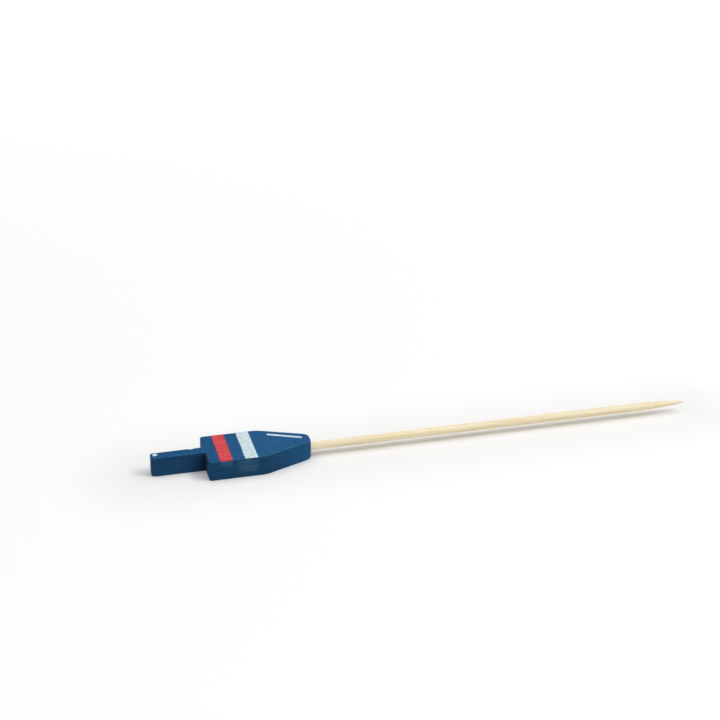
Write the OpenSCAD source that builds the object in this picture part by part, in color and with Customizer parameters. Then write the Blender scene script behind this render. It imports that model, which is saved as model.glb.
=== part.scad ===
// Cocktail pick with a flat painted wooden head and a pointed bamboo stick.
// Units are millimetres. +X runs from the handle to the point, +Y is the side with the
// thin printed line, and +Z is up. The head lies flat on Z = 0 and the stick runs
// parallel to the floor, at half the head's height. The origin is midway along the pick.

/* [Head] */
// Thickness of the wooden head
head_t = 6; // [5:0.1:9]
// Width of the body, the wide middle of the head
body_w = 15; // [14:0.1:22]
// Length of the body's parallel sides, from the shoulders to the hips
body_len = 16.2; // [15.1:0.1:26]
// Length of the taper, from the hips to the nose
taper_len = 14; // [10:0.1:20]
// Width of the nose, where the stick goes in
nose_w = 4.1; // [3.9:0.1:7]
// Length of the handle behind the shoulders
handle_len = 15.2; // [8:0.1:24]
// Width of the handle
handle_w = 3.1; // [2.6:0.1:6]

/* [Sanded edges] */
// Radius of the soft edges round the top and bottom faces
edge_roll = 0.35; // [0.15:0.05:0.35]
// Radius of the upright corners at the shoulders and at the handle's end
corner_round = 0.8; // [0.8:0.05:1.3]
// Radius of the upright corners beside the nose
nose_round = 1.3; // [0.9:0.05:1.5]
// Radius of the gentle bend at each hip, less than half the body's width
hip_round = 6.5; // [2:0.5:7]

/* [Stick] */
// Diameter of the bamboo stick
stick_d = 2.4; // [1.8:0.1:2.6]
// Length of straight stick that shows between the nose and the sharpened end
shaft_len = 100; // [40:1:140]
// Length of the sharpened end
point_len = 14.6; // [6:0.1:20]
// Half width that the sharpening leaves at the tip
tip_r = 0.25; // [0.1:0.05:0.4]
// Radius of the cap that rounds the tip off
tip_round = 0.45; // [0.45:0.05:0.8]
// Bevel round the end that is pushed into the head
stick_bevel = 0.3; // [0.1:0.05:0.5]
// How much the pushed-in end is eased, off the radius, from the nose inwards
seat_ease = 0.1; // [0.05:0.05:0.2]

/* [Socket and glue] */
// Depth that the stick goes into the head
seat_depth = 16; // [8:0.5:20]
// Glue round the stick, the bore's radius less the stick's
glue_gap = 0.2; // [0.05:0.05:0.25]
// Free bore left behind the stick's end, filled by glue
end_gap = 0.6; // [0.2:0.1:1]
// Included angle of the drill's point at the bottom of the bore
drill_angle = 118; // [90:1:140]
// Radius of the small flat that the drill's chisel edge leaves
drill_flat = 0.1; // [0.05:0.01:0.3]
// Width of the countersink round the bore's mouth
sink_w = 0.25; // [0.1:0.05:0.35]
// Depth of the countersink
sink_depth = 0.35; // [0.2:0.05:0.8]
// Height of the glue bead that stands proud of the nose
bead_h = 0.2; // [0.1:0.05:0.5]
// Thickness of the bead where it feathers out on the stick
bead_lip = 0.05; // [0.02:0.01:0.1]

/* [Print] */
// Thickness of the printed paint
print_t = 0.05; // [0.03:0.01:0.1]
// How far down the soft edge a band reaches
print_wrap = 0.15; // [0.05:0.01:0.15]
// Distance from the shoulders to the red band
red_start = 3.1; // [1.4:0.1:4]
// Width of the red band along the pick
red_len = 3.6; // [1:0.1:4]
// Distance between the two bands
band_gap = 3.4; // [1:0.1:4]
// Width of the pale band along the pick
pale_len = 3.7; // [1:0.1:4]
// Distance from the hip to the start of the thin line, along the taper's edge
line_start = 3.4; // [1:0.1:4]
// Distance from the end of the thin line to the nose, along the taper's edge
line_stop = 1.4; // [1:0.1:5]
// Width of the thin line
line_w = 0.85; // [0.5:0.05:1.2]
// Distance from the taper's edge to the middle of the thin line, at its start
line_inset = 2.05; // [1.5:0.05:2.1]
// Angle by which the thin line draws away from the edge towards the nose
line_skew = 2; // [0:0.5:3]
// Diameter of the dot on the handle
dot_d = 1.4; // [0.6:0.1:1.6]
// Distance from the handle's end to the middle of the dot
dot_inset = 1.3; // [1.1:0.1:4]
// Distance of the dot from the handle's middle, towards the thin line's side
dot_offset = 0.2; // [0:0.05:0.25]

/* [Hidden] */
$fn = 96;
mid_z = head_t / 2;
reach = shaft_len + point_len;
total_len = handle_len + body_len + taper_len + reach;
tail_x = -total_len / 2;
shoulder_x = tail_x + handle_len;
hip_x = shoulder_x + body_len;
nose_x = hip_x + taper_len;
taper_drop = (body_w - nose_w) / 2;
taper_angle = atan(taper_drop / taper_len);
line_len = norm([taper_len, taper_drop]) - line_start - line_stop;
// Length of handle that runs on inside the body, to join them
handle_root = 2 * corner_round + edge_roll;
stick_r = stick_d / 2;
eased_r = stick_r - seat_ease;
bore_r = stick_r + glue_gap;
bore_depth = seat_depth + end_gap;
drill_h = (bore_r - drill_flat) / tan(drill_angle / 2);
// How much smaller than life a plank's pieces are when they are joined
seam_scale = 1000;
// Radius of the long arc that shapes the sharpened end
point_arc = (pow(stick_r - tip_r, 2) + pow(point_len, 2)) / (2 * (stick_r - tip_r));
// How far outside the shaft that arc starts, so that the two meet at a clear angle
point_lead = stick_r / 300;

// Outlines seen from above, listed anticlockwise as [x, y, corner radius]
body_outline = [
    [shoulder_x, -body_w / 2, corner_round],
    [hip_x, -body_w / 2, hip_round],
    [nose_x, -nose_w / 2, nose_round],
    [nose_x, nose_w / 2, nose_round],
    [hip_x, body_w / 2, hip_round],
    [shoulder_x, body_w / 2, corner_round]
];
handle_outline = [
    [tail_x, -handle_w / 2, corner_round],
    [shoulder_x + handle_root, -handle_w / 2, corner_round],
    [shoulder_x + handle_root, handle_w / 2, corner_round],
    [tail_x, handle_w / 2, corner_round]
];

head_color = [0.11, 0.27, 0.43];
stick_color = [0.89, 0.79, 0.56];
glue_color = [0.68, 0.75, 0.71];
red_color = [0.85, 0.27, 0.29];
pale_color = [0.78, 0.87, 0.89];
mark_color = [0.84, 0.93, 0.98];

// Which node to build

function unit(v) = v / norm(v);
function inward(v) = [-v[1], v[0]];
function spot(p) = [p[0], p[1]];

// Direction of travel from corner i to the next one
function heading(outline, i) =
    let (n = len(outline))
    unit(spot(outline[(i + 1) % n]) - spot(outline[(i + n) % n]));

// Angle that the outline turns through at corner i
function turn(outline, i) =
    acos(heading(outline, i - 1) * heading(outline, i));

// Length of side that the rounding at corner i uses up
function cut(outline, i) = outline[i][2] * tan(turn(outline, i) / 2);

function arc_start(outline, i) =
    spot(outline[i]) - heading(outline, i - 1) * cut(outline, i);
function arc_end(outline, i) =
    spot(outline[i]) + heading(outline, i) * cut(outline, i);
function arc_centre(outline, i) =
    arc_start(outline, i) + inward(heading(outline, i - 1)) * outline[i][2];

// Upright section of a plank's rim, with its outer edges rolled over.
// The outer side is at x = depth, which is at least twice the roll.
module rim_section(depth, height, roll) {
    square([depth - roll, height]);
    translate([0, roll]) square([depth, height - 2 * roll]);
    for (y = [roll, height - roll])
        translate([depth - roll, y]) circle(r = roll);
}

// Flat plank with a convex outline, rounded corners and rolled top and bottom edges.
// It is put together at a small scale and then enlarged, which keeps its seams tight.
module plank(outline, height, roll) {
    scale(seam_scale) small_plank(outline / seam_scale, height / seam_scale, roll / seam_scale);
}

module small_plank(outline, height, roll) {
    n = len(outline);
    rim = 2 * roll;
    core = [
        for (i = [0 : n - 1])
            for (p = [
                arc_start(outline, i) + inward(heading(outline, i - 1)) * rim,
                arc_centre(outline, i),
                arc_end(outline, i) + inward(heading(outline, i)) * rim
            ]) p
    ];
    linear_extrude(height) polygon(core);
    for (i = [0 : n - 1]) {
        a = arc_end(outline, i);
        b = arc_start(outline, (i + 1) % n);
        h = heading(outline, i);
        translate([a[0], a[1], 0])
            rotate([90, 0, 90 + atan2(h[1], h[0])])
                linear_extrude(norm(b - a))
                    translate([rim, 0]) mirror([1, 0]) rim_section(rim, height, roll);
        c = arc_centre(outline, i);
        g = heading(outline, i - 1);
        translate([c[0], c[1], 0])
            rotate([0, 0, atan2(g[1], g[0]) - 90])
                rotate_extrude(angle = turn(outline, i))
                    rim_section(outline[i][2], height, roll);
    }
}

// Puts a shape turned about Z onto the stick's axis, with its origin at x and +Z along +X
module on_axis(x) {
    translate([x, 0, mid_z]) rotate([0, 90, 0]) children();
}

// Drilled bore with its countersunk mouth
module bore() {
    on_axis(nose_x - bore_depth) {
        cylinder(r = bore_r, h = bore_depth);
        translate([0, 0, -drill_h]) cylinder(r1 = drill_flat, r2 = bore_r, h = drill_h);
        translate([0, 0, bore_depth - sink_depth])
            cylinder(r1 = bore_r, r2 = bore_r + sink_w, h = sink_depth);
    }
}

// Bamboo stick, turned in one piece from its bevelled end in the bore to its tip
module stick_solid() {
    straight = seat_depth + shaft_len;
    end = straight + point_len;
    on_axis(nose_x - seat_depth)
        rotate_extrude()
            intersection() {
                polygon([
                    [0, 0], [eased_r - stick_bevel, 0], [eased_r, stick_bevel],
                    [stick_r, seat_depth], [stick_r, end + tip_round], [0, end + tip_round]
                ]);
                union() {
                    square([stick_d, straight]);
                    translate([stick_r + point_lead - point_arc, straight])
                        circle(r = point_arc, $fn = 720);
                }
                union() {
                    square([stick_d, end - tip_round]);
                    translate([0, end - tip_round]) circle(r = tip_round);
                }
            }
}

module head() {
    color(head_color)
        difference() {
            union() {
                plank(body_outline, head_t, edge_roll);
                plank(handle_outline, head_t, edge_roll);
            }
            bore();
        }
}

module stick() {
    color(stick_color) stick_solid();
}

// Glue that fills the bore round the stick and stands as a small bead at the nose
module glue() {
    color(glue_color)
        difference() {
            union() {
                bore();
                on_axis(nose_x)
                    cylinder(r1 = bore_r + sink_w, r2 = stick_r + bead_lip, h = bead_h);
            }
            stick_solid();
        }
}

// Upright section through the body's upper half, swollen by extra all over
module body_section(extra) {
    flat_w = body_w - 2 * edge_roll;
    translate([-flat_w / 2, 0]) square([flat_w, head_t + extra]);
    for (s = [-1, 1])
        translate([s * flat_w / 2, head_t - edge_roll]) circle(r = edge_roll + extra);
}

// Painted band across the top face, carried a little way down both soft edges
module band(start, width) {
    translate([shoulder_x + start, 0, 0])
        rotate([90, 0, 90])
            linear_extrude(width)
                difference() {
                    intersection() {
                        body_section(print_t);
                        translate([-body_w, head_t - print_wrap])
                            square([2 * body_w, print_wrap + print_t]);
                    }
                    body_section(0);
                }
}

module red_band() {
    color(red_color) band(red_start, red_len);
}

module pale_band() {
    color(pale_color) band(red_start + red_len + band_gap, pale_len);
}

// Thin printed line beside the taper's edge on the +Y side, with round ends
module edge_line() {
    straight = line_len - line_w;
    color(mark_color)
        translate([hip_x, body_w / 2, head_t])
            rotate([0, 0, -taper_angle])
                translate([line_start + line_w / 2, -line_inset, 0])
                    rotate([0, 0, -line_skew])
                        linear_extrude(print_t) {
                            translate([0, -line_w / 2]) square([straight, line_w]);
                            for (x = [0, straight])
                                translate([x, 0]) circle(d = line_w);
                        }
}

module handle_dot() {
    color(mark_color)
        translate([tail_x + dot_inset, dot_offset, head_t]) cylinder(d = dot_d, h = print_t);
}

head();
stick();
glue();
red_band();
pale_band();
edge_line();
handle_dot();
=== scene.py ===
"""Looks, light and camera for the cocktail pick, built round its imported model.

The mesh code works in millimetres, in the row's frame, and MM turns them into metres.
"""
import math
import bpy
import numpy as np
from mathutils import Matrix, Vector

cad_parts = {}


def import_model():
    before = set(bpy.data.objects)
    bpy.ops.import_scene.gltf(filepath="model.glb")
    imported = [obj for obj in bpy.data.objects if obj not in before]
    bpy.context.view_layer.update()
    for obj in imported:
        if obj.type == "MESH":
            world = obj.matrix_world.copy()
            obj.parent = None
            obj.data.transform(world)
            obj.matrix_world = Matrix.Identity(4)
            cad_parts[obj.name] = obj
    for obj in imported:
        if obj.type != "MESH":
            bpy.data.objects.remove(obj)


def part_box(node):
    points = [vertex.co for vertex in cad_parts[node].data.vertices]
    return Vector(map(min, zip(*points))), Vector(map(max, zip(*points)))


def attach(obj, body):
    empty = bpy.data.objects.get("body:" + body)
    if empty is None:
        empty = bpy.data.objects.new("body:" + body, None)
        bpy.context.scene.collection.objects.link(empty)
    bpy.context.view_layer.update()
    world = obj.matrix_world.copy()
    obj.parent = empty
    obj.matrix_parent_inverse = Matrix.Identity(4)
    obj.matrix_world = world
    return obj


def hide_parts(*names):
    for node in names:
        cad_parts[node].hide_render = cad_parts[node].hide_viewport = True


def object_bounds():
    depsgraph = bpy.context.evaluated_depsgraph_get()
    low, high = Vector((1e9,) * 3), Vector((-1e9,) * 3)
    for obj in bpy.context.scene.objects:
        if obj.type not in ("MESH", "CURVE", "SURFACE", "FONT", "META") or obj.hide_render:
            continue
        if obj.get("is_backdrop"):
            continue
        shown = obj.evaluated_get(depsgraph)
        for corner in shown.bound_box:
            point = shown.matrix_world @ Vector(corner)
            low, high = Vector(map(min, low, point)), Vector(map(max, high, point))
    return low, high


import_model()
cad_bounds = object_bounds()

MM = 0.001


def node_box(name):
    """Lowest and highest corner of a CAD node, in millimetres."""
    low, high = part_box(name)
    return np.array(low) / MM, np.array(high) / MM


HEAD_LOW, HEAD_HIGH = node_box("head")
STICK_LOW, STICK_HIGH = node_box("stick")
TAIL_X, NOSE_X = HEAD_LOW[0], HEAD_HIGH[0]
HEAD_T = HEAD_HIGH[2]
MID_Z = HEAD_T / 2
HALF_BODY = HEAD_HIGH[1]

# Sizes of the head that its box doesn't give
SHOULDER_X = -64.8
HIP_X = -48.6
HALF_HANDLE = 1.55
HALF_NOSE = 2.05
CORNER_ROUND = 0.8
NOSE_ROUND = 1.3
HIP_ROUND = 6.5
# Length of handle that runs on inside the body
HANDLE_ROOT = 2
# The bore, a hair narrower than the glue in it, so that no gap shows at its mouth
BORE_R = 1.39
BORE_DEPTH = 16.6
SINK_W = 0.25
SINK_DEPTH = 0.35

# Worn edges: radius, how much it wanders, and over what lengths along X, Y and Z
ROLL = 0.32
ROLL_SWING = 0.08
ROLL_PATCH = [3.5, 2.5, 2.5]
ROLL_SEED = 11
# How much the countersink wanders, as a share of its width, and over what length
SINK_SWING = 0.3
SINK_PATCH = 0.9
SINK_SEED = 17
# The far shoulder is cut at a slant: how far it stands out beside the handle, how far
# the slanted stretch laps over handle and body, and its sharp corners
SHOULDER_SLANT = 0.6
SHOULDER_LAP = 3
SLANT_LAP = 0.4
SLANT_ROUND = 0.1
# Fillet of paint between handle and shoulders
INNER_FILLET = 0.35
# Relief of the wood under the paint: depth, then the patches' size and seed
RELIEF = 0.018
RELIEF_PATCHES = [([7, 0.9, 0.9], 5), ([2.2, 2.2, 2.2], 6)]
# Step of the grid that the head is meshed on
NET_STEP = 0.18

# Places where the real edges are worn more: centre, reach and extra roll
SOFT_SPOTS = [
    ((TAIL_X, -HALF_HANDLE, 0), 1.3, 0.5),
    ((TAIL_X, HALF_HANDLE, 0), 1.3, 0.3),
    ((SHOULDER_X, -HALF_BODY, HEAD_T), 1.2, -0.05),
    ((NOSE_X, -HALF_NOSE, HEAD_T), 1.5, 0.25),
    ((NOSE_X, HALF_NOSE, HEAD_T), 1.5, 0.35),
    ((NOSE_X, -HALF_NOSE, 0), 1.8, 0.55),
    ((NOSE_X, HALF_NOSE, 0), 1.5, 0.3),
]
# The chip in the handle's far top edge: centre and half sizes of an egg cut out of it
CHIP_CENTRE = np.array([SHOULDER_X - 3.6, HALF_HANDLE + 0.3, HEAD_T + 0.22])
CHIP_SIZE = np.array([1.2, 0.8, 0.66])

# Painted shade in the corners between handle and shoulders: how far it reaches along the handle,
# how much less along the shoulder, how fast it ends, how far it laps over the handle, and how far
# below the top face it starts and is whole
SHADE_REACH = 3.0
SHADE_ASPECT = 2.2
SHADE_FALL = 1.4
SHADE_LAP = 0.2
SHADE_TOP = 0.2
SHADE_FADE = 1.2

# Printed films: height over the wood, and how deep they are seated in it
FILM = 0.035
FILM_SEAT = 0.03
# Bands: how far they wrap over the edges in degrees, how much their ends wander, how
# quickly, the points over an edge, across the top and along, and the seeds of both ends
BAND_WRAP_ANGLE = 52
BAND_SWING = 0.06
BAND_WAVES = 1.3
BAND_WRAP_POINTS = 8
BAND_TOP_POINTS = 90
BAND_ROWS = 24
BAND_SEEDS = {"red_band": (41, 51), "pale_band": (42, 52)}
# Line: width, how much it wanders as a share, over what length, the least share of the
# half width that its round ends start from, points along and across, and seed
LINE_W = 0.85
LINE_SWING = 0.06
LINE_PATCH = 0.8
LINE_END = 0.02
LINE_POINTS = 80
LINE_ROWS = 8
LINE_SEED = 21
# Dot: points each way, how far it is from round as a share, and which way it bulges
DOT_POINTS = 16
DOT_SWING = 0.04
DOT_TURN = 0.6

# Stick
STICK_R = 1.2
SEAT_EASE = 0.1
STICK_BEVEL = 0.3
POINT_START = 65.4
POINT_ARC = 112.66
POINT_LEAD = 0.004
TIP_ROUND = 0.45
TIP_LEAST_R = 0.01
# Rings on the bevel, the straight part, the point and the last stretch of the tip
BEVEL_RINGS, STRAIGHT_RINGS, POINT_RINGS, TIP_RINGS = 3, 300, 90, 8
TIP_STRETCH = 0.3
# Fibres of the stick: length, fineness round it, depth as a share of its radius, seed
FIBRES = [(16, 5, 0.007, 31), (9, 11, 0.005, 32)]

# Points round the stick and round the glue
AROUND = 96
ANGLES = np.linspace(0, 2 * math.pi, AROUND, endpoint=False)

# The glue's section, from the bore's blind end out along the wall, over the bead and
# back along the stick: distance past the nose, radius, and how unevenly it runs round
GLUE_SECTION = [
    (-16.55, 0.02, 0), (-16.55, 1.4, 0), (-0.4, 1.4, 0), (-0.2, 1.52, 0), (-0.03, 1.63, 0),
    (0.01, 1.6, 0.03), (0.03, 1.52, 0.04), (0.06, 1.43, 0.04), (0.1, 1.34, 0.03),
    (0.14, 1.27, 0.02), (0.17, 1.22, 0.01), (0.17, 1.15, 0), (-15.9, 1.0, 0),
    (-16.0, 0.75, 0), (-16.02, 0.02, 0),
]
# Circle through the noise that the bead's unevenness is read from: centre and radius,
# and the seeds of its two parts
BEAD_CENTRE = (4, 9)
BEAD_RADIUS = 3
BEAD_SEEDS = (51, 52)

WORLD_LIGHT = 0.23
# Name, place, width and depth in metres, and power in watts
SOFTBOXES = [
    ("key", (0.92, -0.4, 1.15), (0.6, 0.45), 7.2),
    ("overhead", (0.0, -0.1, 1.5), (2.8, 2.0), 21.0),
]
FLOOR = (0.93, 0.93, 0.925, 1)
FLOOR_HALF = 4.0
# The floor turns white away from the pick: distances in metres where each of two
# ramps starts and ends, and how much it adds
FLOOR_GLOW = [(0.0, 0.03, 0.1), (0.03, 1.5, 0.92)]
BACKDROP_WHITE = (1, 1, 1, 1)

# Place in metres, angles in degrees and lens in millimetres, solved from the photograph
CAMERA_PLACE = (-0.13557, -0.42605, 0.25546)
CAMERA_HEADING = 15.15
CAMERA_PITCH = 27.18
CAMERA_ROLL = 0.85
CAMERA_LENS = 88.95
CAMERA_SENSOR = 36
CAMERA_CLIP = (0.01, 50)


def lattice_noise(points, seed):
    """Smooth noise between -1 and 1, one swing to a unit of length."""
    table = np.random.default_rng(seed).uniform(-1, 1, 4096)
    cell = np.floor(points).astype(np.int64)
    part = points - cell
    part = part * part * (3 - 2 * part)
    total = np.zeros(len(points))
    for corner in np.ndindex(2, 2, 2):
        at = cell + corner
        # three large primes scatter neighbouring cells over the table
        key = at[:, 0] * 73856093 ^ at[:, 1] * 19349663 ^ at[:, 2] * 83492791
        weight = np.prod(np.where(np.array(corner), part, 1 - part), axis=1)
        total += weight * table[key % len(table)]
    return total


def line_noise(along, seed):
    """Smooth noise along one coordinate."""
    return lattice_noise(np.column_stack([along, along * 0, along * 0]), seed)


def both_sides(corners):
    """Corners on the side of negative y, closed through their mirror images."""
    return corners + [(x, -y, radius) for x, y, radius in reversed(corners)]


def rounded_outline(corners, steps=14):
    """Dense polygon through corners (x, y, radius), listed anticlockwise."""
    points = []
    for i, (x, y, radius) in enumerate(corners):
        here = np.array([x, y])
        back = np.array(corners[i - 1][:2]) - here
        ahead = np.array(corners[(i + 1) % len(corners)][:2]) - here
        back, ahead = back / np.linalg.norm(back), ahead / np.linalg.norm(ahead)
        half = math.acos(np.clip(back @ ahead, -1, 1)) / 2
        middle = (back + ahead) / np.linalg.norm(back + ahead)
        centre = here + middle * radius / math.sin(half)
        first = here + back * radius / math.tan(half) - centre
        for t in np.linspace(0, math.pi - 2 * half, steps):
            turn = np.array([[math.cos(t), -math.sin(t)], [math.sin(t), math.cos(t)]])
            points.append(centre + turn @ first)
    return np.array(points)


def outline_distance(points, outline):
    """Distance from points in the plane to a convex outline, negative inside."""
    best = np.full(len(points), np.inf)
    inside = np.ones(len(points), bool)
    for a, b in zip(outline, np.roll(outline, -1, axis=0)):
        side = b - a
        rel = points - a
        t = np.clip(rel @ side / (side @ side), 0, 1)
        best = np.minimum(best, np.sum((rel - t[:, None] * side) ** 2, axis=1))
        inside &= side[0] * rel[:, 1] - side[1] * rel[:, 0] >= 0
    return np.where(inside, -1, 1) * np.sqrt(best)


BODY_OUTLINE = rounded_outline(both_sides([
    (SHOULDER_X, -HALF_BODY, CORNER_ROUND),
    (HIP_X, -HALF_BODY, HIP_ROUND),
    (NOSE_X, -HALF_NOSE, NOSE_ROUND),
]))
HANDLE_OUTLINE = rounded_outline(both_sides([
    (TAIL_X, -HALF_HANDLE, CORNER_ROUND),
    (SHOULDER_X + HANDLE_ROOT, -HALF_HANDLE, CORNER_ROUND),
]))
SLANT_OUTLINE = rounded_outline([
    (SHOULDER_X - SHOULDER_SLANT, HALF_HANDLE - SLANT_LAP, SLANT_ROUND),
    (SHOULDER_X + SHOULDER_LAP, HALF_HANDLE - SLANT_LAP, SLANT_ROUND),
    (SHOULDER_X + SHOULDER_LAP, HALF_BODY, SLANT_ROUND),
    (SHOULDER_X, HALF_BODY, CORNER_ROUND),
])


def edge_roll(points):
    """Radius of the worn edges near each point."""
    roll = ROLL + ROLL_SWING * lattice_noise(points / ROLL_PATCH, ROLL_SEED)
    for centre, reach, extra in SOFT_SPOTS:
        gap = np.linalg.norm(points - np.array(centre), axis=1)
        roll = roll + extra * np.exp(-((gap / reach) ** 2))
    return roll


def plan_distance(points):
    """Distance in plan to the whole head, with paint filling its two inner corners."""
    outlines = BODY_OUTLINE, SLANT_OUTLINE, HANDLE_OUTLINE
    body, slant, handle = (outline_distance(points, outline) for outline in outlines)
    body = np.minimum(body, slant)
    blend = np.clip(0.5 + 0.5 * (body - handle) / INNER_FILLET, 0, 1)
    return body * (1 - blend) + handle * blend - INNER_FILLET * blend * (1 - blend)


def past_roll(points, flat, roll):
    """How far points are past the start of the rolled edge, in plan and in height."""
    return flat + roll, np.abs(points[:, 2] - MID_Z) - MID_Z + roll


def head_distance(points, flat=None):
    """Distance to the worn head, negative inside the wood."""
    if flat is None:
        flat = plan_distance(points[:, :2])
    roll = edge_roll(points)
    across, up = past_roll(points, flat, roll)
    wood = np.hypot(np.maximum(across, 0), np.maximum(up, 0)) - roll
    wood += np.minimum(np.maximum(across, up), 0)
    depth = NOSE_X - points[:, 0]
    sink = np.clip(1 - depth / SINK_DEPTH, 0, 1) * SINK_W
    sink *= 1 + SINK_SWING * lattice_noise(points / SINK_PATCH, SINK_SEED)
    radius = np.hypot(points[:, 1], points[:, 2] - MID_Z)
    bore = np.maximum(radius - BORE_R - sink, depth - BORE_DEPTH)
    egg = np.linalg.norm((points - CHIP_CENTRE) / CHIP_SIZE, axis=1) - 1
    return np.maximum(np.maximum(wood, -bore), -egg * CHIP_SIZE.min())


def outward(points, step=0.02):
    """Unit normals of the head's distance field."""
    out = np.empty_like(points)
    for axis in range(3):
        shift = np.zeros(3)
        shift[axis] = step
        out[:, axis] = head_distance(points + shift) - head_distance(points - shift)
    return out / np.maximum(np.linalg.norm(out, axis=1, keepdims=True), 1e-9)


def onto_head(points, level, rounds=3):
    """Moves points along the head's own normals until they stand level off its surface."""
    for _ in range(rounds):
        normals = outward(points)
        points = points + normals * (level - head_distance(points))[:, None]
    return points, normals


def surface_net(values, low, step):
    """Vertices and quads of the surface where a grid of distances changes sign."""
    inside = values < 0
    cells = [slice(None, -1), slice(1, None)]
    corners = list(np.ndindex(2, 2, 2))
    stack = np.stack([inside[cells[i], cells[j], cells[k]] for i, j, k in corners])
    mixed = stack.any(axis=0) & ~stack.all(axis=0)
    index = np.full(mixed.shape, -1)
    index[mixed] = np.arange(mixed.sum())
    place = np.argwhere(mixed)
    # each mixed cell gets one vertex, the mean of where its edges cross the surface
    total, count = np.zeros((len(place), 3)), np.zeros(len(place))
    for a in corners:
        for axis in range(3):
            if a[axis]:
                continue
            b = tuple(1 if n == axis else v for n, v in enumerate(a))
            va = values[tuple((place + a).T)]
            vb = values[tuple((place + b).T)]
            crossed = (va < 0) != (vb < 0)
            t = np.where(crossed, va / np.where(crossed, va - vb, 1), 0)
            spot = np.array(a, float) + t[:, None] * (np.array(b) - np.array(a))
            total += np.where(crossed[:, None], spot, 0)
            count += crossed
    vertices = low + (place + total / count[:, None]) * step
    # each grid edge that crosses the surface gets a quad of the four cells round it
    quads = []
    for axis in range(3):
        other = [n for n in range(3) if n != axis]
        first = np.take(inside, range(inside.shape[axis] - 1), axis=axis)
        second = np.take(inside, range(1, inside.shape[axis]), axis=axis)
        for edge, flip in ((first & ~second, axis == 1), (second & ~first, axis != 1)):
            at = np.argwhere(edge)
            keep = (at[:, other] > 0).all(axis=1)
            keep &= (at[:, other] < np.array(index.shape)[other]).all(axis=1)
            at = at[keep]
            ring = []
            for du, dv in ((0, 0), (1, 0), (1, 1), (0, 1)):
                back = np.zeros(3, int)
                back[other[0]], back[other[1]] = du, dv
                ring.append(index[tuple((at - back).T)])
            quads.append(np.stack(ring[::-1] if flip else ring, axis=1))
    return vertices, np.concatenate(quads)


def grid_quads(index):
    """Quads between the neighbours in a grid of vertex numbers."""
    a, b, c, d = index[:-1, :-1], index[:-1, 1:], index[1:, 1:], index[1:, :-1]
    return np.stack([a, b, c, d], axis=-1).reshape(-1, 4)


def lathe(x, radius):
    """Closed surface of rings round the stick's axis, from a row of radii for each ring."""
    x = np.broadcast_to(x, radius.shape)
    rings = np.stack([x, radius * np.cos(ANGLES), MID_Z + radius * np.sin(ANGLES)], axis=-1)
    index = np.arange(radius.size).reshape(radius.shape)
    ends = [index[0][::-1].tolist(), index[-1].tolist()]
    around = grid_quads(np.column_stack([index, index[:, :1]]))
    return rings.reshape(-1, 3), around.tolist() + ends


def add_object(name, data):
    """New object in the scene, at the origin."""
    obj = bpy.data.objects.new(name, data)
    bpy.context.scene.collection.objects.link(obj)
    return obj


def make_piece(name, node, vertices, faces, material):
    """New smooth piece in place of a CAD node, from vertices in millimetres."""
    mesh = bpy.data.meshes.new(name)
    mesh.from_pydata((vertices * MM).tolist(), [], faces)
    mesh.validate()
    mesh.shade_smooth()
    mesh.materials.append(material)
    piece = add_object(name, mesh)
    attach(piece, "root")
    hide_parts(node)
    return piece


def store(piece, name, values):
    """Keeps one number for each vertex, for the material to read."""
    layer = piece.data.attributes.new(name, "FLOAT", "POINT")
    layer.data.foreach_set("value", np.asarray(values, np.float32))


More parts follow.
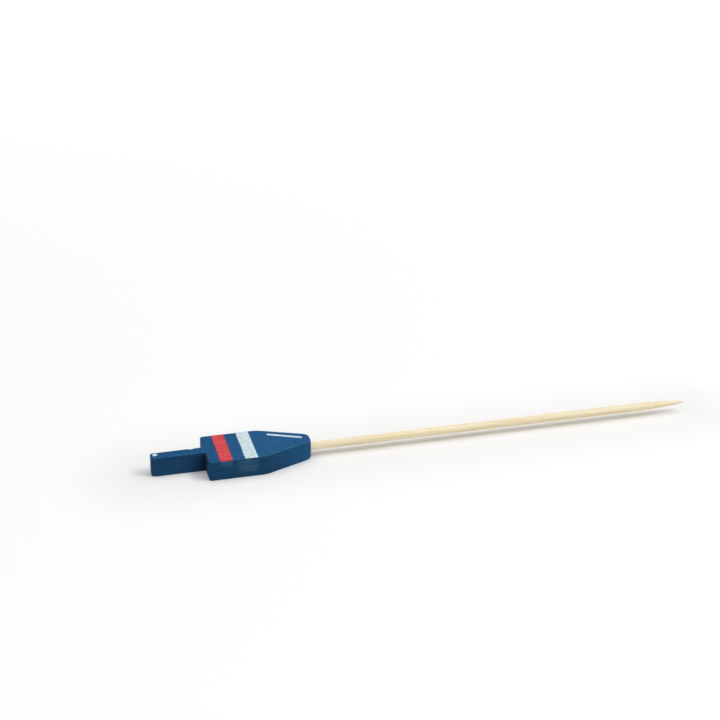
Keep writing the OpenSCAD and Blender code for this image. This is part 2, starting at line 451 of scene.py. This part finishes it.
class Finish:
    """A material under construction, with short ways to add its nodes."""

    def __init__(self, name, roughness, specular):
        self.material = bpy.data.materials.new(name)
        self.material.use_nodes = True
        self.tree = self.material.node_tree
        self.shader = self.tree.nodes["Principled BSDF"]
        self.shader.inputs["Roughness"].default_value = roughness
        self.shader.inputs["Specular IOR Level"].default_value = specular
        self.where = self.add("TexCoord").outputs["Object"]

    def add(self, kind, values=(), **settings):
        """New node with its settings, and a value or a link for each named input."""
        node = self.tree.nodes.new("ShaderNode" + kind)
        for key, value in settings.items():
            setattr(node, key, value)
        for key, value in dict(values).items():
            if isinstance(value, bpy.types.NodeSocket):
                self.tree.links.new(value, node.inputs[key])
            else:
                node.inputs[key].default_value = value
        return node

    def noise(self, lengths, detail=3.0, roughness=0.5, offset=(0, 0, 0), distortion=0.0):
        """Cloud whose patches are lengths millimetres long along X, Y and Z."""
        scale = [1 / (MM * n) for n in lengths]
        place = {"Vector": self.where, "Scale": scale, "Location": offset}
        values = {
            "Vector": self.add("Mapping", place).outputs["Vector"],
            "Scale": 1.0,
            "Detail": detail,
            "Roughness": roughness,
            "Distortion": distortion,
        }
        return self.add("TexNoise", values).outputs["Fac"]

    def ramp(self, value, low, high, out_low=0.0, out_high=1.0):
        """Smooth step from out_low to out_high as the value goes from low to high."""
        values = {"Value": value, 1: low, 2: high, 3: out_low, 4: out_high}
        return self.add("MapRange", values, interpolation_type="SMOOTHSTEP").outputs[0]

    def math(self, operation, a, b):
        """Sum, product or the like of two numbers."""
        return self.add("Math", {0: a, 1: b}, operation=operation).outputs[0]

    def times(self, a, b):
        """Product of two numbers."""
        return self.math("MULTIPLY", a, b)

    def vector(self, operation, a, b=(0, 0, 0)):
        """Outputs of one step of vector arithmetic."""
        return self.add("VectorMath", {0: a, 1: b}, operation=operation).outputs

    def axis(self, name):
        """One object coordinate, in millimetres."""
        return self.times(self.add("SeparateXYZ", {0: self.where}).outputs[name], 1 / MM)

    def facing(self, name):
        """How squarely the surface faces along an axis, from 0 to 1."""
        normal = self.vector("ABSOLUTE", self.add("NewGeometry").outputs["Normal"])[0]
        return self.add("SeparateXYZ", {0: normal}).outputs[name]

    def between(self, name, low, high, soft):
        """1 where a coordinate lies between low and high, fading over soft."""
        value = self.axis(name)
        up = self.ramp(value, low - soft, low + soft)
        return self.times(up, self.ramp(value, high - soft, high + soft, 1.0, 0.0))

    def mix(self, factor, a, b):
        """Colour a where the factor is 0, and colour b where it is 1."""
        return self.add("Mix", {0: factor, 6: a, 7: b}, data_type="RGBA").outputs[2]

    def attribute(self, name):
        """The number that store() kept under this name."""
        return self.add("Attribute", attribute_name=name).outputs["Fac"]

    def bump(self, height, distance, strength, below=None):
        """Normal of a relief so many millimetres deep, on top of another one if given."""
        values = {"Height": height, "Distance": distance * MM, "Strength": strength}
        if below:
            values["Normal"] = below
        return self.add("Bump", values).outputs["Normal"]

    def finish(self, **sockets):
        """Links each value to the shader's input of that name, and gives the material."""
        for name, value in sockets.items():
            self.tree.links.new(value, self.shader.inputs[name.replace("_", " ").title()])
        return self.material


def srgb(red, green, blue):
    """Colour as seen on a screen, 0 to 255, turned into the shader's linear values."""
    def linear(c):
        c /= 255
        return c / 12.92 if c <= 0.04045 else ((c + 0.055) / 1.055) ** 2.4
    return (linear(red), linear(green), linear(blue), 1)


NAVY = srgb(30, 87, 133)
NAVY_DEEP = srgb(22, 81, 127)
# painted shade and light: the sides darker than the top faces, and the taper's side lighter where
# the light falls on it
NAVY_SIDE_SHADE = srgb(21, 69, 107)
NAVY_TAPER_SIDE_LIT = srgb(28, 86, 131)
# pale edge colour: partly real wear, partly a painted highlight on the rolled edges
NAVY_WEAR_AND_HIGHLIGHT = srgb(66, 116, 158)
NAVY_DUST = srgb(92, 128, 152)
NAVY_REAR = srgb(18, 77, 120)
# dark navy of the saw lines and grain, also used for the painted shade in the inner corners
NAVY_DARK = srgb(14, 28, 42)
GHOST = srgb(92, 132, 150)
RED = srgb(215, 73, 77)
RED_DEEP = srgb(199, 55, 63)
RED_SPECK = srgb(172, 60, 72)
PALE = srgb(216, 234, 238)
PALE_THIN = srgb(203, 222, 229)
PALE_SPECK = srgb(148, 170, 182)
WHITE = srgb(219, 236, 248)
WHITE_THIN = srgb(197, 219, 236)
WHITE_SPECK = srgb(158, 196, 220)
BAMBOO_PALE = srgb(250, 238, 207)
BAMBOO = srgb(246, 231, 191)
BAMBOO_FIBRE = srgb(222, 190, 130)
BAMBOO_VESSEL = srgb(176, 136, 82)
GLUE = srgb(206, 214, 198)
GLUE_EDGE = srgb(160, 172, 158)

# Overspray on the side that faces -Y: band, reach past each of its ends along X, how
# softly it ends there, depth below the top face, strength
GHOSTS = [
    ("red_band", -0.05, -0.05, 0.133, 1.8, 0.24),
    ("pale_band", 1.9, -0.1, 0.783, 4.3, 0.18),
]
# Where the overspray starts below the top face, and how softly it ends there
GHOST_TOP = 0.35
GHOST_SOFT = 0.3


def painted_wood():
    """Thin matt paint over wood: faint grain, saw lines on the sides, edges paler from wear and a
    painted highlight, painted shade on the sides and in the inner corners, painted light on the
    taper's side.
    """
    f = Finish("painted_wood", 0.6, 0.08)
    grain = f.noise((9.0, 0.55, 0.6), 4.0, 0.55, distortion=0.4)
    cloud = f.noise((4.0, 2.2, 2.2), 3.0, 0.55, (3.1, 1.7, 0.4))
    fine = f.noise((0.6, 0.24, 0.24), 3.0, 0.65)
    saw = f.noise((7.0, 3.0, 0.2), 3.0, 0.6, (1.0, 0.0, 2.0))
    patch = f.noise((0.9, 0.6, 0.9), 3.0, 0.6, (2.0, 6.0, 3.0))
    wisps = f.noise((3.2, 1.0, 0.2), 3.0, 0.65, (0.0, 0.0, 5.0))
    color = f.mix(f.ramp(cloud, 0.3, 0.7), NAVY_DEEP, NAVY)
    color = f.mix(f.ramp(f.axis("X"), HIP_X, SHOULDER_X), color, NAVY_REAR)
    # the sides are painted darker than the flat faces as painted shade, and the taper's side
    # lighter towards the nose as painted light where the lamp from the right falls on it; the sawn
    # sides are also streaky
    side = f.ramp(f.facing("Z"), 0.85, 0.35)
    taper = f.mix(f.ramp(f.axis("X"), HIP_X, NOSE_X), NAVY_SIDE_SHADE, NAVY_TAPER_SIDE_LIT)
    color = f.mix(side, color, taper)
    color = f.mix(f.times(f.ramp(saw, 0.45, 0.75, 0.0, 0.5), side), color, NAVY_DARK)
    color = f.mix(f.ramp(grain, 0.5, 0.8, 0.0, 0.14), color, NAVY_DARK)
    dust = f.times(f.ramp(fine, 0.5, 0.78, 0.0, 0.34), f.ramp(side, 0.0, 1.0, 1.0, 0.4))
    color = f.mix(dust, color, NAVY_DUST)
    # paler edges: partly real wear, partly a painted highlight where the rolled edges catch the
    # light
    worn = f.times(f.attribute("edge"), f.ramp(patch, 0.35, 0.7, 0.15, 0.65))
    color = f.mix(worn, color, NAVY_WEAR_AND_HIGHLIGHT)
    # painted shade in the inner corners between handle and shoulders
    color = f.mix(f.times(f.attribute("corner"), 0.85), color, NAVY_DARK)
    near = f.ramp(f.axis("Y"), -HALF_BODY + 0.35, -HALF_BODY + 0.1)
    for node, before, after, soft, depth, strength in GHOSTS:
        low, high = node_box(node)
        along = f.between("X", low[0] - before, high[0] + after, soft)
        down = f.between("Z", HEAD_T - depth, HEAD_T - GHOST_TOP, GHOST_SOFT)
        ghost = f.times(f.times(f.times(along, down), near), strength)
        color = f.mix(f.times(ghost, f.ramp(wisps, 0.4, 0.66, 0.1, 2.2)), color, GHOST)
    normal = f.bump(fine, 0.02, 0.3, f.bump(grain, 0.05, 0.35))
    rough = f.ramp(f.noise((6.0, 0.8, 0.9)), 0.3, 0.7, 0.52, 0.68)
    return f.finish(base_color=color, normal=normal, roughness=rough)


def print_paint(name, base, thin, speck, speck_amount):
    """Screen-printed paint with fine specks where the wood shows through."""
    f = Finish(name, 0.55, 0.2)
    cloud = f.noise((1.4, 1.1, 1.4), 3.0, 0.55)
    dots = f.noise((0.35, 0.35, 0.35), 2.0, 0.6, (2.0, 4.0, 1.0))
    color = f.mix(f.ramp(cloud, 0.35, 0.65, 0.0, 0.85), base, thin)
    color = f.mix(f.ramp(dots, 0.54, 0.7, 0.0, speck_amount), color, speck)
    normal = f.bump(f.noise((3.0, 0.5, 0.5)), 0.03, 0.3)
    rough = f.ramp(cloud, 0.3, 0.7, 0.46, 0.6)
    return f.finish(base_color=color, normal=normal, roughness=rough)


def bamboo():
    """Pale bamboo with long fibres, short dark vessels and a few tan streaks."""
    f = Finish("bamboo", 0.55, 0.3)
    fibre = f.noise((16.0, 0.2, 0.2), 3.0, 0.55)
    band = f.noise((30.0, 1.1, 1.1), 2.0, 0.5, (1.3, 3.0, 8.0))
    vessel = f.noise((4.0, 0.09, 0.09), 1.0, 0.5, (6.0, 1.0, 2.0))
    color = f.mix(f.ramp(band, 0.35, 0.65), BAMBOO_PALE, BAMBOO)
    color = f.mix(f.ramp(fibre, 0.46, 0.72, 0.0, 0.68), color, BAMBOO_FIBRE)
    color = f.mix(f.ramp(vessel, 0.64, 0.78, 0.0, 0.5), color, BAMBOO_VESSEL)
    rough = f.ramp(fibre, 0.3, 0.7, 0.48, 0.64)
    return f.finish(base_color=color, normal=f.bump(fibre, 0.03, 0.3), roughness=rough)


def dried_glue():
    """Glue squeezed out round the stick, greyed by dust and a little paint."""
    f = Finish("dried_glue", 0.35, 0.4)
    cloud = f.noise((0.7, 0.7, 0.7), 3.0, 0.6)
    stain = f.noise((0.5, 0.5, 0.5), 2.0, 0.6, (4.0, 2.0, 7.0))
    color = f.mix(f.ramp(cloud, 0.3, 0.7), GLUE, GLUE_EDGE)
    color = f.mix(f.ramp(stain, 0.58, 0.75, 0.0, 0.6), color, NAVY)
    rough = f.ramp(cloud, 0.3, 0.7, 0.28, 0.5)
    return f.finish(base_color=color, normal=f.bump(cloud, 0.04, 0.4), roughness=rough)


def build_head():
    """The wooden head with hand-sanded edges, meshed from its distance field."""
    margin = 3 * NET_STEP
    low, high = HEAD_LOW - margin, HEAD_HIGH + margin
    counts = np.ceil((high - low) / NET_STEP).astype(int) + 1
    axes = [low[n] + NET_STEP * np.arange(counts[n]) for n in range(3)]
    plan = np.stack(np.meshgrid(axes[0], axes[1], indexing="ij"), -1).reshape(-1, 2)
    grid = np.stack(np.meshgrid(*axes, indexing="ij"), -1).reshape(-1, 3)
    values = head_distance(grid, np.repeat(plan_distance(plan), counts[2]))
    vertices, quads = surface_net(values.reshape(counts), low, NET_STEP)
    vertices, normals = onto_head(vertices, 0)
    relief = sum(lattice_noise(vertices / size, seed) for size, seed in RELIEF_PATCHES)
    vertices = vertices - normals * (RELIEF * np.clip(0.5 + 0.5 * relief, 0, 1))[:, None]
    head = make_piece("wooden_head", "head", vertices, quads.tolist(), painted_wood())

    # where the edges roll over, for the material's paler edges: wear and a painted highlight
    roll = edge_roll(vertices)
    across, up = past_roll(vertices, plan_distance(vertices[:, :2]), roll)
    edge = 2 * np.clip(across / roll, 0, 1.2) * np.clip(up / roll, 0, 1.2)
    store(head, "edge", np.clip(edge, 0, 1))
    # mask of the painted shade in the corners between handle and shoulders
    beside = np.abs(vertices[:, 1]) - HALF_HANDLE
    reach = np.abs(vertices[:, 0] - SHOULDER_X) + SHADE_ASPECT * np.clip(beside, 0, None)
    corner = np.exp(-((reach / SHADE_REACH) ** SHADE_FALL)) * (beside > -SHADE_LAP)
    depth = HEAD_T - SHADE_TOP - vertices[:, 2]
    store(head, "corner", corner * np.clip(depth / SHADE_FADE, 0, 1))


def print_film(name, node, points, material):
    """Thin closed film of paint over a grid of points, seated on the worn head."""
    rows, columns = points.shape[:2]
    points = points.reshape(-1, 3)
    vertices = np.concatenate([onto_head(points, FILM)[0], onto_head(points, -FILM_SEAT)[0]])
    index = np.arange(rows * columns).reshape(rows, columns)
    upper, below = grid_quads(index), rows * columns
    rim = np.concatenate([index[0], index[1:, -1], index[-1, -2::-1], index[-2:0:-1, 0]])
    ahead = np.roll(rim, -1)
    wall = np.stack([rim + below, ahead + below, ahead, rim], axis=1)
    faces = np.concatenate([upper, upper[:, ::-1] + below, wall])
    make_piece(name, node, vertices, faces.tolist(), material)


def build_band(name, node, material):
    """Printed band, from one soft edge over the top face to the other."""
    low, high = node_box(node)
    flat = HALF_BODY - ROLL
    wrap = np.radians(np.linspace(BAND_WRAP_ANGLE, 0, BAND_WRAP_POINTS))
    arc = np.stack([flat + ROLL * np.sin(wrap), HEAD_T - ROLL + ROLL * np.cos(wrap)], 1)
    across = np.linspace(flat, -flat, BAND_TOP_POINTS)[1:-1]
    top = np.stack([across, np.full(across.shape, HEAD_T)], 1)
    section = np.concatenate([arc, top, arc[::-1] * [-1, 1]])
    swing = [BAND_SWING * line_noise(section[:, 0] * BAND_WAVES, seed) for seed in BAND_SEEDS[node]]
    first = low[0] + BAND_SWING + swing[0]
    last = high[0] - BAND_SWING + swing[1]
    shares = np.linspace(0, 1, BAND_ROWS)
    rows = [np.column_stack([first + (last - first) * share, section]) for share in shares]
    print_film(name, node, np.array(rows), material)


def build_line(material):
    """Thin printed line beside the taper's far edge, with round ends."""
    low, high = node_box("edge_line")
    half = LINE_W / 2
    start = np.array([low[0] + half, high[1] - half])
    end = np.array([high[0] - half, low[1] + half])
    run = (end - start) / np.linalg.norm(end - start)
    side = np.array([-run[1], run[0]])
    along = np.linspace(-half, np.linalg.norm(end - start) + half, LINE_POINTS)
    left = np.clip(np.minimum(along - along[0], along[-1] - along) / half, LINE_END, 1)
    width = half * np.sqrt(1 - (1 - left) ** 2)
    width = width * (1 + LINE_SWING * line_noise(along / LINE_PATCH, LINE_SEED))
    across = width[:, None] * np.linspace(1, -1, LINE_ROWS)
    plan = start + run * along[:, None, None] + side * across[:, :, None]
    points = np.dstack([plan, np.full(across.shape, HEAD_T)])
    print_film("printed_line", "edge_line", points, material)


def build_dot(material):
    """Printed dot on the handle, slightly uneven round its edge."""
    low, high = node_box("handle_dot")
    centre, radius = (low + high) / 2, (high[0] - low[0]) / 2
    share = np.linspace(-1, 1, DOT_POINTS)
    u, v = np.meshgrid(share, -share, indexing="ij")
    # a square grid drawn in to a disc
    x, y = u * np.sqrt(1 - v * v / 2), v * np.sqrt(1 - u * u / 2)
    bulge = np.sin(2 * np.arctan2(y, x) + DOT_TURN) - 1
    reach = radius * (1 + DOT_SWING * bulge)
    points = np.dstack([centre[0] + reach * x, centre[1] + reach * y, np.full(x.shape, HEAD_T)])
    print_film("printed_dot", "handle_dot", points, material)


def stick_radius(x):
    """Radius of the smooth stick at each place along it."""
    low, high = STICK_LOW[0], STICK_HIGH[0]
    radius = STICK_R - SEAT_EASE * np.clip((NOSE_X - x) / (NOSE_X - low), 0, 1)
    radius -= np.clip(STICK_BEVEL - (x - low), 0, None)
    past = np.clip(x - POINT_START, 0, None)
    point = STICK_R + POINT_LEAD - POINT_ARC + np.sqrt(POINT_ARC ** 2 - past ** 2)
    left = np.clip(high - x, 0, TIP_ROUND)
    tip = np.sqrt(TIP_ROUND ** 2 - (TIP_ROUND - left) ** 2)
    tip = np.where(left < TIP_ROUND, tip, STICK_R)
    return np.maximum(np.minimum(np.minimum(radius, point), tip), TIP_LEAST_R)


def build_stick():
    """Bamboo stick with fibre ridges and a long, slightly uneven sanded point."""
    low, high = STICK_LOW[0], STICK_HIGH[0]
    x = np.concatenate([
        np.linspace(low, low + STICK_BEVEL, BEVEL_RINGS)[:-1],
        np.linspace(low + STICK_BEVEL, POINT_START, STRAIGHT_RINGS)[:-1],
        np.linspace(POINT_START, high - TIP_STRETCH, POINT_RINGS)[:-1],
        high - TIP_STRETCH * np.cos(np.linspace(0, math.pi / 2, TIP_RINGS)),
    ])
    along, angles = np.repeat(x, AROUND), np.tile(ANGLES, len(x))
    share = 1
    for length, fineness, depth, seed in FIBRES:
        round_it = np.cos(angles) * fineness, np.sin(angles) * fineness
        place = np.column_stack([along / length, *round_it])
        share = share - depth * (1 + lattice_noise(place, seed))
    radius = stick_radius(along) * share
    vertices, faces = lathe(x[:, None], radius.reshape(len(x), AROUND))
    make_piece("bamboo_stick", "stick", vertices, faces, bamboo())


def build_glue():
    """Glue that fills the bore and stands round the stick as an uneven bead."""
    past, radius, swing = np.array(GLUE_SECTION).T[:, :, None]
    circle = np.cos(ANGLES), np.sin(ANGLES)
    parts = zip(BEAD_CENTRE, circle, BEAD_SEEDS)
    wave = sum(line_noise(centre + BEAD_RADIUS * c, seed) for centre, c, seed in parts)
    vertices, faces = lathe(NOSE_X + past + swing * wave, radius + swing * wave)
    make_piece("glue_fill", "glue", vertices, faces, dried_glue())


def backdrop_rays(tree):
    """1 for rays that show the backdrop: straight to the camera, in gloss or through glass."""
    path = tree.nodes.new("ShaderNodeLightPath")
    shown = path.outputs["Is Camera Ray"]
    for name in ("Is Glossy Ray", "Is Transmission Ray"):
        either = tree.nodes.new("ShaderNodeMath")
        either.operation = "MAXIMUM"
        tree.links.new(shown, either.inputs[0])
        tree.links.new(path.outputs[name], either.inputs[1])
        shown = either.outputs[0]
    return shown


def floor():
    """Pale table top that takes the shadow, and turns white away from the pick."""
    mesh = bpy.data.meshes.new("floor")
    square = np.array([(-1, -1, 0), (1, -1, 0), (1, 1, 0), (-1, 1, 0)])
    mesh.from_pydata((square * FLOOR_HALF).tolist(), [], [(0, 1, 2, 3)])
    obj = add_object("floor", mesh)
    f = Finish("floor", 0.9, 0.1)
    f.shader.inputs["Base Color"].default_value = FLOOR
    f.shader.inputs["Emission Color"].default_value = BACKDROP_WHITE
    # distance from the stretch of the X axis that the pick covers
    past = f.vector("SUBTRACT", f.vector("ABSOLUTE", f.where)[0], (STICK_HIGH[0] * MM, 0, 0))[0]
    away = f.vector("LENGTH", f.vector("MAXIMUM", past)[0])["Value"]
    near, far = (f.ramp(away, start, end, 0.0, most) for start, end, most in FLOOR_GLOW)
    glow = f.times(f.math("ADD", near, far), backdrop_rays(f.tree))
    mesh.materials.append(f.finish(emission_strength=glow))
    obj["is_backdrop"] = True


def world():
    """Even fill light, in front of which the backdrop shows as white."""
    studio = bpy.data.worlds.new("studio")
    studio.use_nodes = True
    bpy.context.scene.world = studio
    tree = studio.node_tree
    fill = tree.nodes["Background"]
    fill.inputs["Color"].default_value = BACKDROP_WHITE
    fill.inputs["Strength"].default_value = WORLD_LIGHT
    white = tree.nodes.new("ShaderNodeBackground")
    white.inputs["Color"].default_value = BACKDROP_WHITE
    mix = tree.nodes.new("ShaderNodeMixShader")
    tree.links.new(backdrop_rays(tree), mix.inputs[0])
    tree.links.new(fill.outputs[0], mix.inputs[1])
    tree.links.new(white.outputs[0], mix.inputs[2])
    tree.links.new(mix.outputs[0], tree.nodes["World Output"].inputs["Surface"])


def softbox(name, place, size, power):
    """Flat rectangular lamp that faces the middle of the pick."""
    light = bpy.data.lights.new(name, "AREA")
    light.shape = "RECTANGLE"
    light.size, light.size_y = size
    light.energy = power
    obj = add_object(name, light)
    obj.location = place
    obj.rotation_euler = (-Vector(place)).to_track_quat("-Z", "Y").to_euler()


def camera():
    """Camera at the photograph's own place, looking down along the handle."""
    pitch, heading = math.radians(CAMERA_PITCH), math.radians(CAMERA_HEADING)
    ahead = Vector((
        math.sin(heading) * math.cos(pitch),
        math.cos(heading) * math.cos(pitch),
        -math.sin(pitch),
    ))
    right = ahead.cross(Vector((0, 0, 1))).normalized()
    turn = Matrix((right, right.cross(ahead), -ahead)).transposed()
    roll = Matrix.Rotation(math.radians(CAMERA_ROLL), 3, "Z")
    data = bpy.data.cameras.new("camera")
    data.lens = CAMERA_LENS
    data.sensor_width = CAMERA_SENSOR
    data.clip_start, data.clip_end = CAMERA_CLIP
    obj = add_object("camera", data)
    obj.matrix_world = Matrix.Translation(CAMERA_PLACE) @ (turn @ roll).to_4x4()
    bpy.context.scene.camera = obj


red_print = print_paint("red_print", RED, RED_DEEP, RED_SPECK, 0.5)
pale_print = print_paint("pale_print", PALE, PALE_THIN, PALE_SPECK, 1.0)
white_print = print_paint("white_print", WHITE, WHITE_THIN, WHITE_SPECK, 0.4)

build_head()
build_band("printed_red_band", "red_band", red_print)
build_band("printed_pale_band", "pale_band", pale_print)
build_line(white_print)
build_dot(white_print)
build_stick()
build_glue()

floor()
world()
for lamp in SOFTBOXES:
    softbox(*lamp)
camera()
bpy.context.scene.view_settings.view_transform = "Standard"

boxes = {"cad": cad_bounds, "visual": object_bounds()}
boxes = {name: [list(map(float, corner)) for corner in box] for name, box in boxes.items()}
